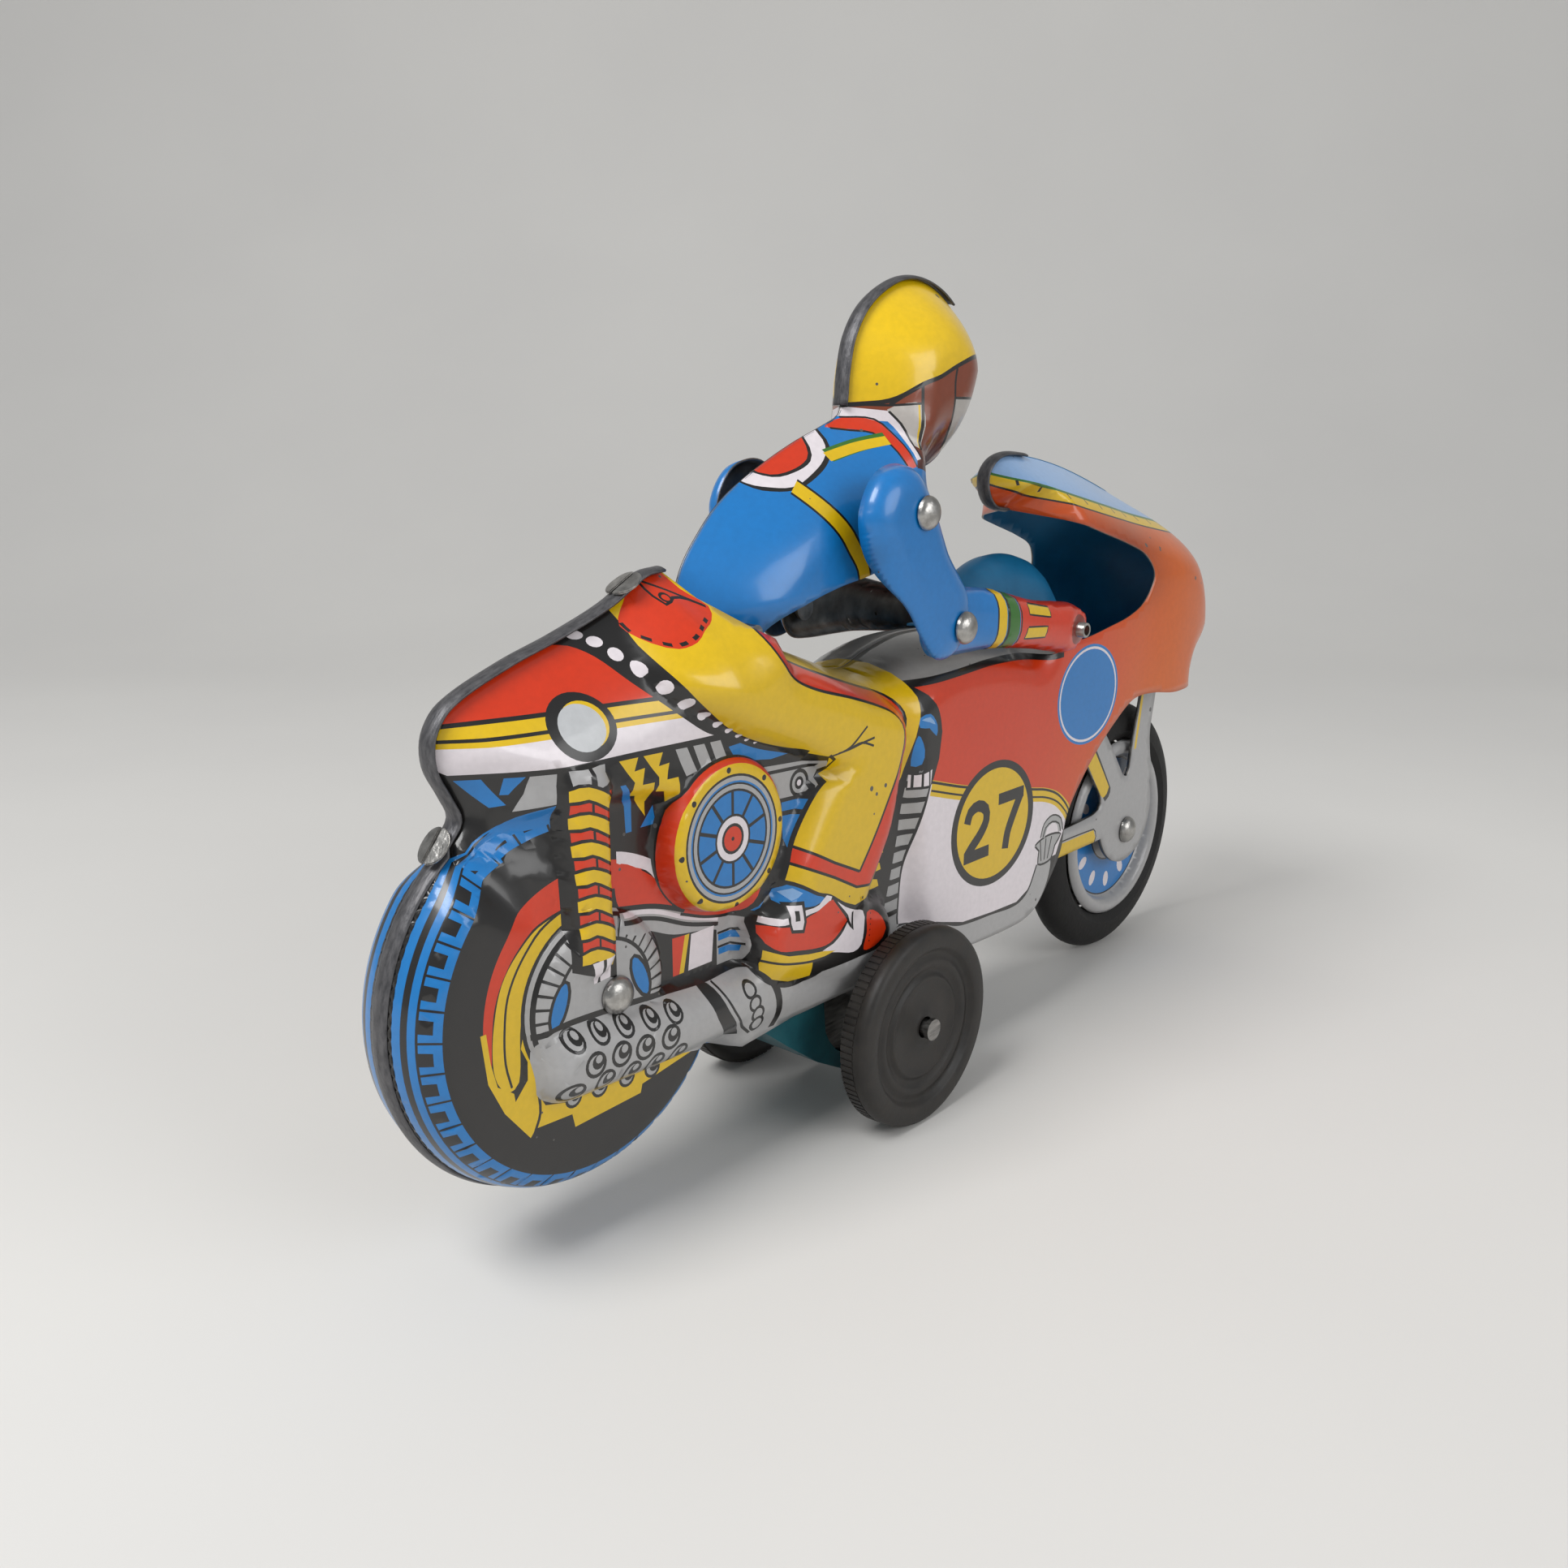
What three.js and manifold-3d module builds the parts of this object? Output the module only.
// A wind-up tin racing motorcycle with its rider. Millimetres, +Z up, the front wheel towards +X.
// y = 0 is the seam between the pressed halves; the right half lies at negative y.
import * as THREE from 'three';
import { mergeVertices } from 'three/addons/utils/BufferGeometryUtils.js';
import Module from 'manifold-3d';

const wasm = await Module();
wasm.setup();

// ---------- driving sizes ----------
const SHEET = 0.8; // tin, drawn thicker than the real 0.3 mm so that it keeps a volume
const GAP = 0.3; // between pieces that touch
const SEAM_GAP = 0.15; // half of the gap along the seam
const REAR = { x: -82.6, z: 42, r: 31.5, half: 9 }; // the pressed rear wheel
const FRONT = { x: 85.3, r: 29.6, rim: 21, half: 4.5 }; // the turning front wheel
const DRIVE = { x: -16.8, r: 18.6, face: 23.5, width: 6 }; // the two driving wheels
const MOTOR = { half: 6.6, plate: 1, arbor: { x: -53, z: 49 } };
const TEETH = { great: 38, secondPinion: 10, second: 34, drivePinion: 14 };
const HIP = { x: -48, z: 92.5 };
const SHOULDER = { x: -17, z: 110 };
const ELBOW = { x: -5, z: 89.5 };
const GRIP = { x: 37.5, z: 84 };
const HUB_RIVET = { x: -80.2, z: 42 };
const ARM_INNER = 15.6; // the arms lie outside this half-width
const BODY_STEP = 5.6; // spacing of the points on each pressed surface
const RIDER_STEP = 4.4;
const ARM_STEP = 4;

const toy = new THREE.Group();

// ---------- finishes ----------
const finish = (color, roughness, metalness) => new THREE.MeshStandardMaterial({ color, roughness, metalness });
const FINISH = {
  printedBody: finish(0xd9501a, 0.3, 0.3),
  printedRider: finish(0x1b86c4, 0.3, 0.3),
  yellowTin: finish(0xe8c400, 0.3, 0.3),
  bareStrip: finish(0x4d4d50, 0.5, 0.8),
  rivet: finish(0xc4c4c4, 0.3, 1),
  steel: finish(0xa8a9ab, 0.4, 1),
  springSteel: finish(0x4a5058, 0.35, 1),
  brass: finish(0xb8933f, 0.4, 1),
  greyTin: finish(0x8f8e8d, 0.4, 0.5),
  blueTin: finish(0x1f74a8, 0.4, 0.4),
  tealTin: finish(0x1f6a74, 0.5, 0.2),
  rubber: finish(0x1c1c1b, 0.8, 0),
  plastic: finish(0x24221f, 0.6, 0),
};

// ---------- shape helpers ----------
const add = (name, geometry, material) => {
  const mesh = new THREE.Mesh(geometry, material);
  mesh.name = name;
  toy.add(mesh);
  return mesh;
};

const toSolid = (geometry) => {
  const bare = new THREE.BufferGeometry();
  bare.setAttribute('position', geometry.getAttribute('position'));
  if (geometry.index) bare.setIndex(geometry.index);
  const merged = mergeVertices(bare, 1e-3);
  return new wasm.Manifold(new wasm.Mesh({
    numProp: 3,
    vertProperties: new Float32Array(merged.attributes.position.array),
    triVerts: new Uint32Array(merged.index.array),
  }));
};

const toGeometry = (solid) => {
  const mesh = solid.getMesh();
  const geometry = new THREE.BufferGeometry();
  geometry.setAttribute('position', new THREE.BufferAttribute(new Float32Array(mesh.vertProperties), 3));
  geometry.setIndex(new THREE.BufferAttribute(new Uint32Array(mesh.triVerts), 1));
  geometry.computeVertexNormals();
  return geometry;
};

// A side outline of [x, z] points as a slab between two values of y.
const slab = (points, yLow, yHigh, holes = []) => {
  const shape = new THREE.Shape(points.map(([x, z]) => new THREE.Vector2(x, z)));
  for (const { x, z, r } of holes) shape.holes.push(new THREE.Path().absarc(x, z, r, 0, 2 * Math.PI));
  const geometry = new THREE.ExtrudeGeometry(shape, { depth: yHigh - yLow, bevelEnabled: false, curveSegments: 8 });
  return geometry.rotateX(Math.PI / 2).translate(0, yHigh, 0);
};

// A profile of [radius, y] points turned about a sideways axle through (x, z).
const turned = (profile, { x, z }, segments = 24, turn = 0) =>
  new THREE.LatheGeometry(profile.map(([r, y]) => new THREE.Vector2(r, y)), segments)
    .rotateY(turn)
    .translate(x, 0, z);

const rod = (r, yLow, yHigh, at, segments = 14) =>
  turned([[0, yLow], [r, yLow], [r, yHigh], [0, yHigh]], at, segments);

const tube = (rIn, rOut, yLow, yHigh, at, segments = 20) =>
  turned([[rIn, yLow], [rOut, yLow], [rOut, yHigh], [rIn, yHigh], [rIn, yLow]], at, segments);

const arc = (cx, cz, r, fromDeg, toDeg, steps) =>
  Array.from({ length: steps + 1 }, (_, i) => {
    const a = THREE.MathUtils.degToRad(fromDeg + ((toDeg - fromDeg) * i) / steps);
    return [cx + r * Math.cos(a), cz + r * Math.sin(a)];
  });

const clamp01 = (t) => Math.min(1, Math.max(0, t));
const quarterRound = (t) => Math.sqrt(1 - (1 - clamp01(t)) ** 2);
const ramp = (t) => clamp01(t) ** 2 * (3 - 2 * clamp01(t));

// Nearest point of a path to (x, z): its distance, and how far along the path it lies, from 0 to 1.
const nearest = (path, x, z) => {
  let best = { distance: Infinity, along: 0 };
  for (let i = 0; i + 1 < path.length; i++) {
    const [ax, az] = path[i];
    const [bx, bz] = path[i + 1];
    const dx = bx - ax;
    const dz = bz - az;
    const t = clamp01(((x - ax) * dx + (z - az) * dz) / (dx * dx + dz * dz || 1));
    const distance = Math.hypot(x - ax - t * dx, z - az - t * dz);
    if (distance < best.distance) best = { distance, along: (i + t) / (path.length - 1) };
  }
  return best;
};

// Distance from a seam, negative beyond it, so that a surface falls through y = 0 along its seam.
const insideOf = (outline, x, z) => outline.reduce((inside, [ax, az], i) => {
  const [bx, bz] = outline[(i + 1) % outline.length];
  const crosses = (az > z) !== (bz > z) && x < ax + ((z - az) / (bz - az)) * (bx - ax);
  return crosses ? !inside : inside;
}, false);
const fromSeam = (seam, outline, openEdges, x, z) => {
  const { distance } = nearest(seam, x, z);
  if (insideOf(outline, x, z)) return distance;
  return Math.min(...openEdges.map((edge) => nearest(edge, x, z).distance)) < distance ? distance : -distance;
};
// How far a pressed surface has risen at t, from 0 on its seam to 1 on the flat, and below 0 beyond the seam.
const rise = (t) => (t < 0 ? 2 * t : 1 - (1 - clamp01(t)) ** 2);
const together = (...rises) => (Math.min(...rises) < 0 ? Math.min(...rises) : rises.reduce((a, b) => a * b));

// A pressed half: tin between outer(x, z) and inner(x, z) inside an outline, on side +1 or -1.
const pressedHalf = ({ outline, outer, inner, yLow, side, step, cuts = [] }) => {
  const xs = outline.map((p) => p[0]);
  const zs = outline.map((p) => p[1]);
  const x0 = Math.min(...xs) - 1;
  const z0 = Math.min(...zs) - 1;
  const nx = Math.ceil((Math.max(...xs) + 1 - x0) / step);
  const nz = Math.ceil((Math.max(...zs) + 1 - z0) / step);
  const field = (height, floor) => {
    const position = [];
    const index = [];
    const row = nz + 1;
    const layer = (nx + 1) * row;
    for (const top of [true, false])
      for (let i = 0; i <= nx; i++)
        for (let k = 0; k <= nz; k++) {
          const x = x0 + i * step;
          const z = z0 + k * step;
          position.push(x, top ? Math.max(height(x, z), floor + 0.1) : floor, z);
        }
    const quad = (a, b, c, d) => index.push(a, b, c, a, c, d);
    for (let i = 0; i < nx; i++)
      for (let k = 0; k < nz; k++) {
        const a = i * row + k;
        quad(a, a + 1, a + row + 1, a + row);
        quad(layer + a, layer + a + row, layer + a + row + 1, layer + a + 1);
      }
    for (let i = 0; i < nx; i++) {
      const a = i * row;
      quad(a, a + row, layer + a + row, layer + a);
      quad(a + nz, layer + a + nz, layer + a + nz + row, a + nz + row);
    }
    for (let k = 0; k < nz; k++) {
      const b = nx * row + k;
      quad(k, layer + k, layer + k + 1, k + 1);
      quad(b, b + 1, layer + b + 1, layer + b);
    }
    const geometry = new THREE.BufferGeometry();
    geometry.setAttribute('position', new THREE.BufferAttribute(new Float32Array(position), 3));
    geometry.setIndex(index);
    return toSolid(geometry);
  };
  let solid = field(outer, -12).subtract(field(inner, -13)).intersect(toSolid(slab(outline, yLow, 60)));
  for (const cut of cuts) solid = solid.subtract(toSolid(cut));
  const parts = solid.decompose().sort((a, b) => b.volume() - a.volume());
  const geometry = toGeometry(parts[0]);
  return side > 0 ? geometry : mirrored(geometry);
};

const mirrored = (geometry) => {
  const copy = geometry.index ? geometry.toNonIndexed() : geometry.clone();
  const p = copy.getAttribute('position');
  for (let i = 0; i < p.count; i += 3) {
    const a = [p.getX(i), -p.getY(i), p.getZ(i)];
    const b = [p.getX(i + 1), -p.getY(i + 1), p.getZ(i + 1)];
    const c = [p.getX(i + 2), -p.getY(i + 2), p.getZ(i + 2)];
    [a, c, b].forEach((v, n) => p.setXYZ(i + n, ...v));
  }
  copy.computeVertexNormals();
  return copy;
};

// A band of tin that follows a seam path, standing off it to its left-hand side.
const band = (path, off, thickness, halfWidth) => {
  const shifted = (d) => path.map(([x, z], i) => {
    const [ax, az] = path[Math.max(0, i - 1)];
    const [bx, bz] = path[Math.min(path.length - 1, i + 1)];
    const length = Math.hypot(bx - ax, bz - az);
    return [x - ((bz - az) / length) * d, z + ((bx - ax) / length) * d];
  });
  return slab([...shifted(off), ...shifted(off + thickness).reverse()], -halfWidth, halfWidth);
};

const SIDES = { right: -1, left: 1 };
const sided = (geometry, side) => (side > 0 ? geometry : mirrored(geometry));

// ---------- body halves ----------
const tailSeam = [
  ...arc(REAR.x, REAR.z, REAR.r, -36, -232, 20),
  [-99.5, 71], [-102, 76], [-103.8, 80.5], [-103, 84.5], [-100, 87.8],
  [-90, 92], [-80, 95], [-70, 98.6], [-63, 102.3], [-59, 102.8],
];
const saddleSeam = [
  [-41, 90], [-35, 88], [-27, 85], [-20, 82.3], [-14, 81.3], [-6, 83.8], [3, 85.4], [15, 85], [24, 83.6], [30, 82],
];
const hoodSeam = [
  [38, 106.5], [33, 107.5], [30.5, 110.5], [30.5, 114], [34, 116.8], [40, 117.3], [55, 115], [70, 111],
  [85, 105.8], [98, 100], [107, 93.5], [112.5, 86.5], [115, 78.5], [113.5, 71.5], [109, 67.5], [104, 65.6],
];
const waistEdge = [[-56, 98.5], [-50, 93.5], [-44, 91]];
const cockpitEdge = [
  [38, 80.8], [46, 80.8], [56, 82], [65, 83.5], [71, 86], [74.5, 91], [72, 95.5], [65, 98.5], [55, 101.5], [45, 104.5],
];
const lowerEdge = [
  [96, 64], [86, 63.8], [76, 65], [68, 64.6], [60, 60.5], [53, 55.5], [46, 49], [42, 43.5], [40.5, 37], [36, 31], [31, 26.5],
  [24, 25], [0, 25.6], [-30, 26.5],
];
const bodyOutline = [
  ...tailSeam, ...waistEdge, ...saddleSeam, ...cockpitEdge, ...hoodSeam, ...lowerEdge,
];

const EXHAUST = [[-89, 34], [-70, 33], [-50, 32.6], [-25, 30.2], [5, 28], [24, 27.6], [33, 33], [36, 39]];
const LEG = [[-62, 92], [-50, 85], [-38, 80], [-22, 71], [-28, 60], [-34, 50]];
const BOOT = [[-45, 42], [-30, 38], [-24, 36]];
const SHOCK = [[-84.5, 72], [-84.5, 52]];
const spot = (x, z) => [[x, z], [x, z]];
const HUB = spot(REAR.x, REAR.z);
const ENGINE_DISC = spot(-58, 62.2);

const openEdges = [
  [tailSeam.at(-1), ...waistEdge, saddleSeam[0]],
  [saddleSeam.at(-1), ...cockpitEdge, hoodSeam[0]],
  [hoodSeam.at(-1), ...lowerEdge, tailSeam[0]],
];

// Half-width of the body's outside at (x, z), drawn in by `sheet` for the inside of the tin.
const bodyHalf = (x, z, sheet = 0) => {
  const inWheel = ramp((REAR.r + 2 - Math.hypot(x - REAR.x, z - REAR.z)) / 4);
  const tail = ramp((z - 70) / 6) * ramp((-58 - x) / 20);
  const fairing = ramp((x + 14 - (65 - z) * 0.12) / 6);
  const hood = ramp((z - 90) / 14) * ramp((x - 20) / 10);
  let width = 12.5 + 3 * fairing - 2.5 * hood + ramp((x - 70) / 20);
  width += (11 - width) * tail;
  width += (REAR.half - width) * inWheel * (1 - tail);
  if (x > 74) width *= Math.sqrt(Math.max(0.01, 1 - ((x - 74) / 42) ** 4));
  const raise = (path, radius, edge, top) => {
    const { distance } = nearest(path, x, z);
    width += Math.max(0, top - width) * quarterRound((radius - distance) / edge);
  };
  raise(EXHAUST, 6.5 - 2.5 * nearest(EXHAUST, x, z).along, 5, 14.5);
  raise(HUB, 13.5, 4, 11);
  raise(SHOCK, 4, 4, 13);
  raise(ENGINE_DISC, 12.4, 2, 14);
  raise(LEG, 8.5 + 4 * ramp((nearest(LEG, x, z).along - 0.5) * 3), 6, 17);
  raise(BOOT, 7.5, 5, 16.5);
  const [toTail, toSaddle, toHood] = [tailSeam, saddleSeam, hoodSeam]
    .map((seam) => fromSeam(seam, bodyOutline, openEdges, x, z) - sheet);
  const tyre = Math.hypot(x - REAR.x, z - REAR.z) > REAR.r - 5 && z < 68 ? 5 : 12;
  return (width - sheet) * together(rise(toTail / tyre), rise(toSaddle / 9), rise(toHood / 13));
};

for (const [name, side] of Object.entries(SIDES)) {
  const keyHole = rod(3, 5, 30, MOTOR.arbor);
  const rivetHole = rod(1.9, 2, 30, HUB_RIVET);
  add(`${name}_body_shell`, pressedHalf({
    outline: bodyOutline,
    outer: (x, z) => bodyHalf(x, z),
    inner: (x, z) => bodyHalf(x, z, SHEET),
    yLow: SEAM_GAP,
    side,
    step: BODY_STEP,
    cuts: side > 0 ? [keyHole, rivetHole] : [rivetHole],
  }), FINISH.printedBody);
}

// ---------- strips and split tabs over the seam ----------
add('rear_seam_strip', band(tailSeam, GAP, 0.6, 2.3), FINISH.bareStrip);
add('windscreen_seam_strip', band(hoodSeam.slice(0, 7), GAP, 0.6, 2.5), FINISH.bareStrip);
const splitTab = (x, z, tiltDeg) => new THREE.CylinderGeometry(3, 3, 0.6, 16)
  .rotateX(Math.PI / 2)
  .rotateY(THREE.MathUtils.degToRad(tiltDeg))
  .translate(x, 0, z);
add('hip_split_tab', splitTab(-65.9, 102.5, -28), FINISH.rivet);
add('tail_split_tab', splitTab(-103.7, 68.6, -52), FINISH.rivet);

// ---------- rivets through both body halves ----------
const dome = (r, height, y, steps = 3) => Array.from({ length: steps + 1 }, (_, i) => {
  const a = (Math.PI / 2) * (i / steps);
  return [r * Math.cos(a), y + height * Math.sin(a)];
});
const throughRivet = (shank, headRadius, headHeight, yHead) => {
  const head = [[headRadius, yHead], ...dome(headRadius, headHeight, yHead)];
  const lower = head.map(([r, y]) => [r, -y]).reverse();
  return [...lower, [shank, -yHead], [shank, yHead], ...head];
};
add('rear_hub_rivet', turned(throughRivet(1.5, 3, 1.8, 13), HUB_RIVET, 12), FINISH.rivet);

// ---------- clockwork ----------
const axleAt = { x: DRIVE.x, z: DRIVE.r };
const pitch = (teeth) => teeth / 2; // module 1
const firstSpan = pitch(TEETH.great) + pitch(TEETH.secondPinion);
const secondSpan = pitch(TEETH.second) + pitch(TEETH.drivePinion);
const span = Math.hypot(axleAt.x - MOTOR.arbor.x, axleAt.z - MOTOR.arbor.z);
const alongSpan = (firstSpan ** 2 - secondSpan ** 2 + span ** 2) / (2 * span);
const offSpan = Math.sqrt(Math.max(0, firstSpan ** 2 - alongSpan ** 2));
const ux = (axleAt.x - MOTOR.arbor.x) / span;
const uz = (axleAt.z - MOTOR.arbor.z) / span;
const secondAt = {
  x: MOTOR.arbor.x + ux * alongSpan - uz * offSpan,
  z: MOTOR.arbor.z + uz * alongSpan + ux * offSpan,
};

const gear = (teeth, yLow, yHigh, at, bore, phase) => {
  const r = pitch(teeth);
  const points = [];
  for (let i = 0; i < teeth; i++)
    for (const [share, radius] of [[-0.3, r - 1.15], [-0.14, r + 0.7], [0.14, r + 0.7], [0.3, r - 1.15]]) {
      const a = phase + (2 * Math.PI * (i + share)) / teeth;
      points.push([at.x + radius * Math.cos(a), at.z + radius * Math.sin(a)]);
    }
  return slab(points, yLow, yHigh, bore ? [{ ...at, r: bore }] : []);
};
// A tooth of the first wheel meets a gap of the second along the line between their centres.
const towards = (from, to) => Math.atan2(to.z - from.z, to.x - from.x);
const greatPhase = towards(MOTOR.arbor, secondAt);
const secondPinionPhase = towards(secondAt, MOTOR.arbor) + Math.PI / TEETH.secondPinion;
const secondPhase = towards(secondAt, axleAt);
const drivePhase = towards(axleAt, secondAt) + Math.PI / TEETH.drivePinion;

add('great_wheel', gear(TEETH.great, 0.5, 2.1, MOTOR.arbor, 2.4, greatPhase), FINISH.brass);
const secondShaft = toSolid(rod(1.2, -6.6, 6.6, secondAt))
  .add(toSolid(gear(TEETH.secondPinion, 0.2, 2.4, secondAt, 0, secondPinionPhase)))
  .add(toSolid(gear(TEETH.second, 3.4, 5, secondAt, 0, secondPhase)));
add('second_wheel', toGeometry(secondShaft), FINISH.brass);
add('drive_pinion', gear(TEETH.drivePinion, 3.1, 5.3, axleAt, 1.8, drivePhase), FINISH.steel);

const platePoints = [
  [-74, 66], [-62, 69], [-46, 68], [-32, 57], [-16, 38], [-3.5, 28], [-3.5, 18], [-11, 11.5], [-22, 11.5],
  [-33, 16.5], [-45, 29.5], [-57, 30.6], [-69, 30.6], [-74, 42],
];
const plateHoles = [
  { ...MOTOR.arbor, r: 2.4 },
  { ...secondAt, r: 1.5 },
  { ...axleAt, r: 1.9 },
];
const pillarPlaces = [{ x: -71, z: 62.5 }, { x: -67.5, z: 32.8 }, { x: -29, z: 17 }, { x: -7, z: 24.5 }];
for (const [name, side] of Object.entries(SIDES)) {
  const holes = [...plateHoles, ...pillarPlaces.map((p) => ({ ...p, r: 1.1 }))];
  add(`motor_plate_${name}`, sided(slab(platePoints, MOTOR.half, MOTOR.half + MOTOR.plate, holes), side), FINISH.steel);
}
pillarPlaces.forEach((at, i) => {
  const half = MOTOR.half - GAP;
  const end = MOTOR.half + MOTOR.plate + 0.2;
  const profile = [[0, -end], [0.8, -end], [0.8, -half], [1.6, -half], [1.6, half], [0.8, half], [0.8, end], [0, end]];
  add(`motor_pillar_${i + 1}`, turned(profile, at, 10), FINISH.steel);
});

// The mainspring: a flat spiral from the arbor's hook out to the pillar behind it.
const springTurns = 4.5;
const springSteps = 45;
const spiral = (offset) => Array.from({ length: springSteps + 1 }, (_, i) => {
  const a = (i / springSteps) * 2 * Math.PI * springTurns;
  const r = 3 + (i / springSteps) * 11.5 + offset;
  return [MOTOR.arbor.x + r * Math.cos(a), MOTOR.arbor.z + r * Math.sin(a)];
});
add('mainspring', slab([...spiral(0), ...spiral(0.55).reverse()], -6, -1), FINISH.springSteel);
add('winding_arbor', turned([
  [0, -7.9], [2, -7.9], [2, 13.5], [1.4, 13.5], [1.4, 18.4], [0, 18.4],
], MOTOR.arbor, 16), FINISH.steel);
const ratchetTeeth = 12;
const ratchetPoints = Array.from({ length: ratchetTeeth }, (_, i) => {
  const a = (2 * Math.PI * i) / ratchetTeeth;
  const at = (angle, r) => [MOTOR.arbor.x + r * Math.cos(angle), MOTOR.arbor.z + r * Math.sin(angle)];
  return [at(a, 5.4), at(a + 0.05, 4.2)];
}).flat();
add('ratchet_wheel', slab(ratchetPoints, 2.6, 4.2, [{ ...MOTOR.arbor, r: 2.3 }]), FINISH.steel);
add('ratchet_click', slab([
  [-47.4, 49.6], [-46.6, 48.2], [-42.6, 52.4], [-41.6, 56], [-43.4, 57.2], [-44.8, 53.6],
], 2.6, MOTOR.half - GAP), FINISH.steel);

// The key: a flat pressed bow on a short collar.
const bowY = 20.3;
const bow = [
  ...arc(MOTOR.arbor.x - 4.9, bowY, 4.1, 100, 240, 8), [MOTOR.arbor.x - 2.6, 16.2], [MOTOR.arbor.x + 2.6, 16.2],
  ...arc(MOTOR.arbor.x + 4.9, bowY, 4.1, -60, 80, 8), [MOTOR.arbor.x, 22.6],
];
const bowShape = new THREE.Shape(bow.map(([x, y]) => new THREE.Vector2(x, y)));
for (const side of [-1, 1])
  bowShape.holes.push(new THREE.Path().absarc(MOTOR.arbor.x + side * 5.6, bowY, 1.9, 0, 2 * Math.PI));
const bowSolid = toSolid(new THREE.ExtrudeGeometry(bowShape, { depth: 1.2, bevelEnabled: false, curveSegments: 8 })
  .translate(0, 0, MOTOR.arbor.z - 0.6));
const collar = toSolid(tube(1.75, 2.7, 14.3, 19, MOTOR.arbor, 16));
const bowRelief = toSolid(rod(1.75, 12, 18.8, MOTOR.arbor));
add('winding_key', toGeometry(bowSolid.add(collar).subtract(bowRelief)), FINISH.steel);

// ---------- driving wheels on their axle ----------
const axleHalf = DRIVE.face + 1.2;
add('drive_axle', turned([
  [0, -axleHalf], [2, -axleHalf], [2, -DRIVE.face - GAP], [1.5, -DRIVE.face - GAP],
  [1.5, DRIVE.face + GAP], [2, DRIVE.face + GAP], [2, axleHalf], [0, axleHalf],
], axleAt, 16), FINISH.steel);
const WHEEL_SIDES = 30;
const facetRadius = (r) => r / Math.cos(Math.PI / WHEEL_SIDES); // so that a facet lies flat on the floor
const halfFacet = Math.PI / WHEEL_SIDES;
for (const [name, side] of Object.entries(SIDES)) {
  const outer = DRIVE.face;
  const innerFace = DRIVE.face - DRIVE.width;
  const R = facetRadius(DRIVE.r);
  const profile = [
    [1.8, innerFace + 1], [15.5, innerFace + 1], [16.5, innerFace], [R - 0.9, innerFace],
    [R, innerFace + 0.9], [R, outer - 1], [R - 1, outer], [14.8, outer], [13.6, outer - 1.1], [10.6, outer - 1.1],
    [9.8, outer - 0.5], [1.8, outer - 0.5], [1.8, innerFace + 1],
  ];
  add(`side_wheel_${name}`, sided(turned(profile, axleAt, WHEEL_SIDES, halfFacet), side), FINISH.plastic);
}

// ---------- motor guard under the body ----------
const guardOutline = [
  [-47, 24.6], [-39, 18.4], [-31, 12.6], [-24, 8.8], [-17, 7.6], [-9, 8.8], [-3, 13.5], [1, 24.6],
];
const guardWall = 9.4;
const guardTrough = slab([...guardOutline, ...guardOutline.map(([x, z]) => {
  const centre = { x: -21, z: 30 };
  const length = Math.hypot(x - centre.x, z - centre.z);
  return [x + ((centre.x - x) / length) * SHEET, z + ((centre.z - z) / length) * SHEET];
}).reverse()], -guardWall, guardWall);
let guard = toSolid(guardTrough);
for (const side of Object.values(SIDES)) {
  const low = side > 0 ? guardWall - SHEET : -guardWall;
  guard = guard.add(toSolid(slab(guardOutline, low, low + SHEET)));
}
const guardWindow = slab(
  [...arc(-18.5, 21.5, 11, 200, 335, 10), [-8, 40], [-31, 40]], -20, 20,
);
guard = guard.subtract(toSolid(guardWindow).intersect(
  toSolid(slab([[-60, 10.4], [30, 10.4], [30, 60], [-60, 60]], -20, 20)),
));
add('motor_guard', toGeometry(guard.decompose().sort((a, b) => b.volume() - a.volume())[0]), FINISH.tealTin);

// ---------- front wheel and its fork ----------
const frontAt = { x: FRONT.x, z: FRONT.r };
const tyreOuter = facetRadius(FRONT.r);
add('front_tyre', turned([
  [FRONT.rim + GAP, -3.2], [FRONT.rim + 4, -FRONT.half], [tyreOuter - 2.4, -3.9], [tyreOuter, -1.6],
  [tyreOuter, 1.6], [tyreOuter - 2.4, 3.9], [FRONT.rim + 4, FRONT.half], [FRONT.rim + GAP, 3.2],
  [FRONT.rim + GAP, -3.2],
], frontAt, WHEEL_SIDES, halfFacet), FINISH.rubber);
for (const [name, side] of Object.entries(SIDES)) {
  const profile = [
    [2, 0.3], [FRONT.rim, 0.3], [FRONT.rim, 3], [19.6, 4.2], [18, 4], [17, 2.6], [7, 2.9], [4, 4], [2, 4], [2, 0.3],
  ];
  add(`front_wheel_disc_${name}`, sided(turned(profile, frontAt, 24), side), FINISH.blueTin);
}
const forkOutline = [
  ...arc(85, 34, 12, -160, 25, 12), [97, 45], [94.6, 52], [96, 60], [97.5, 71], [90.5, 71], [89, 60], [86.5, 52],
  [85.5, 44], [83.5, 42.5], [73.5, 54.5], [63, 64], [58.5, 59.5], [66, 48.5], [72.5, 40.5], [72.5, 37.2],
  [69, 36.2], [32, 35], [32, 29.8],
];
for (const [name, side] of Object.entries(SIDES)) {
  const holes = [{ ...frontAt, r: 1.9 }];
  add(`fork_plate_${name}`, sided(slab(forkOutline, 5.6, 6.6, holes), side), FINISH.greyTin);
}
add('front_axle_rivet', turned(throughRivet(1.5, 3.2, 1.9, 6.9), frontAt, 12), FINISH.rivet);
add('fork_spacer_top', rod(2.2, -5.3, 5.3, { x: 94, z: 67.5 }), FINISH.steel);
add('fork_spacer_middle', rod(2.2, -5.3, 5.3, { x: 62.5, z: 60.2 }), FINISH.steel);
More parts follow.
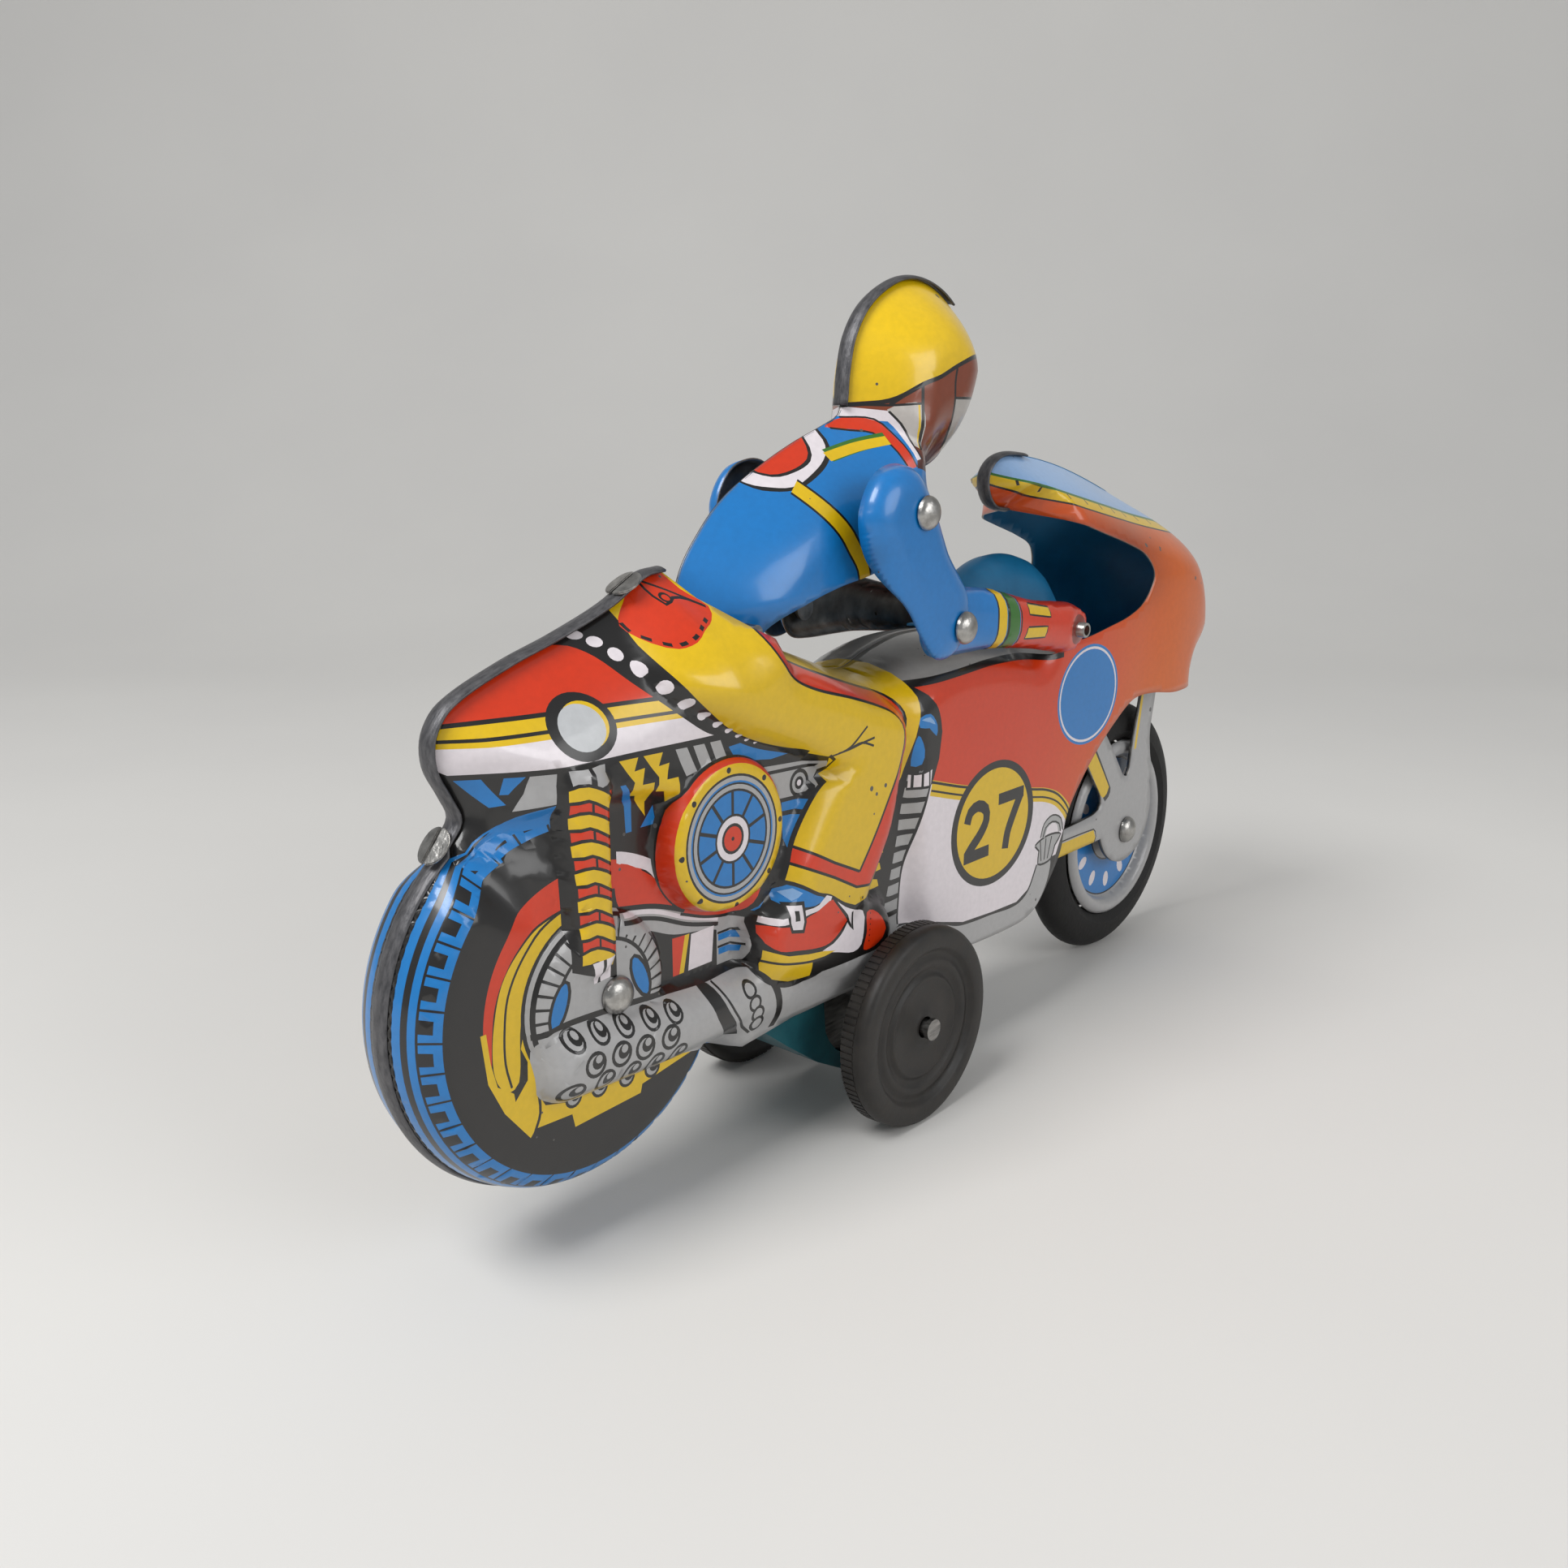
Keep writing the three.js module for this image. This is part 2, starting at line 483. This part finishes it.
add('fork_spacer_rear', rod(2.2, -5.3, 5.3, { x: 37.5, z: 33 }), FINISH.steel);

// ---------- handlebar ----------
const barHalf = 20.6;
add('handlebar', tube(1, 1.5, -barHalf, barHalf, GRIP, 14), FINISH.rivet);

// ---------- blue cowl in the cockpit, open underneath ----------
const cowlPath = [[54, 85.5], [49.5, 92.5], [42, 96.4], [31, 97.4], [21, 95.6], [16, 91.5], [14.6, 86.6]];
add('inner_cowl', band(cowlPath, 0, SHEET, 7), FINISH.blueTin);

// ---------- rider's body halves ----------
const backSeam = [
  [-56.5, 97], [-54, 103], [-50, 108], [-46, 111.8], [-41, 115], [-34, 118.4], [-27, 121.3], [-20, 123.7],
  [-14.5, 125.8], [-14.3, 132], [-12.5, 138.5], [-8.5, 143.8], [-2, 147.6], [4, 148.9], [10.5, 148], [16.5, 144.8],
  [20.8, 139.5], [22.5, 133.5], [21.5, 128.5], [18.8, 122.8], [15, 118.3], [10.5, 116], [7, 115.8],
];
const chestEdge = [[3.5, 113.5], [-3, 108], [-10, 102.5], [-19, 99.6], [-29, 98], [-37, 96], [-43, 93], [-46.5, 88]];
const riderOutline = [...backSeam, ...chestEdge, [-52, 88]];
const riderHalf = (x, z, sheet = 0) => {
  const head = ramp((z - 121 + (x + 5) * 0.25) / 7);
  const chest = 11.5 - 1.4 * ramp((-36 - x) / 14) - 2.4 * ramp((97 - z) / 6);
  const width = chest + (10.8 - chest) * head;
  const edge = 13 + 3 * head;
  const toSeam = fromSeam(backSeam, riderOutline, [[backSeam.at(-1), ...chestEdge, backSeam[0]]], x, z) - sheet;
  return (width - sheet) * rise(toSeam / edge);
};
for (const [name, side] of Object.entries(SIDES))
  add(`rider_body_${name}`, pressedHalf({
    outline: riderOutline,
    outer: (x, z) => riderHalf(x, z),
    inner: (x, z) => riderHalf(x, z, SHEET),
    yLow: SEAM_GAP,
    side,
    step: RIDER_STEP,
    cuts: [rod(1.9, 2, 30, SHOULDER), rod(1.9, 2, 30, HIP)],
  }), FINISH.printedRider);
add('helmet_seam_strip', band(backSeam.slice(8, 16), GAP, 0.6, 2.2), FINISH.bareStrip);
add('hip_pin', rod(1.5, -10.5, 10.5, HIP, 12), FINISH.steel);

// ---------- arms ----------
const upperArm = [
  ...arc(-20.5, 109, 9, 60, 200, 8), [-24.5, 98], ...arc(-9.5, 91, 6.8, 205, 350, 8), [-2.6, 94], [-7.5, 104],
];
const forearm = [
  ...arc(-6, 90, 6.2, 90, 262, 8), [10, 83.4], [24, 81.6], [32, 79.8], [39, 80], [42, 83.5], [40, 87], [33, 89.6],
  [24, 90.6], [10, 94.2],
];
const closed = (points) => [...points, points[0]];
const upperArmHalf = (x, z, sheet = 0) => {
  const elbow = ramp((103 - z) / 8);
  const deep = 4.6 - 3.4 * elbow;
  const rounding = quarterRound((nearest(closed(upperArm), x, z).distance - sheet) / 5);
  return 20.4 - sheet - deep * (1 - rounding);
};
const forearmHalf = (x, z, sheet = 0) => {
  const hand = ramp((x - 2) / 12);
  const top = 18.2 + 1.4 * hand;
  const rounding = quarterRound((nearest(closed(forearm), x, z).distance - sheet) / 4);
  return top - sheet - (top - 15.9) * (1 - rounding);
};
for (const [name, side] of Object.entries(SIDES)) {
  add(`upper_arm_${name}`, pressedHalf({
    outline: upperArm,
    outer: (x, z) => upperArmHalf(x, z),
    inner: (x, z) => upperArmHalf(x, z, SHEET),
    yLow: ARM_INNER,
    side,
    step: ARM_STEP,
    cuts: [rod(1.9, 2, 30, SHOULDER), rod(1.9, 2, 30, ELBOW)],
  }), FINISH.printedRider);
  add(`forearm_${name}`, pressedHalf({
    outline: forearm,
    outer: (x, z) => forearmHalf(x, z),
    inner: (x, z) => forearmHalf(x, z, SHEET),
    yLow: ARM_INNER,
    side,
    step: ARM_STEP,
    cuts: [rod(1.9, 2, 30, ELBOW), rod(2.3, 2, 30, GRIP)],
  }), FINISH.printedRider);
  const shoulderRivet = [
    [0, 9.2], [2.4, 9.2], [2.4, 9.8], [1.5, 9.8], [1.5, 20.7], [2.9, 20.7], ...dome(2.9, 1.6, 20.8),
  ];
  const elbowRivet = [
    [0, 16], [2.3, 16], [2.3, 16.7], [1.5, 16.7], [1.5, 20.7], [2.9, 20.7], ...dome(2.9, 1.6, 20.8),
  ];
  add(`shoulder_rivet_${name}`, sided(turned(shoulderRivet, SHOULDER, 12), side), FINISH.rivet);
  add(`elbow_rivet_${name}`, sided(turned(elbowRivet, ELBOW, 12), side), FINISH.rivet);
}

export default toy;
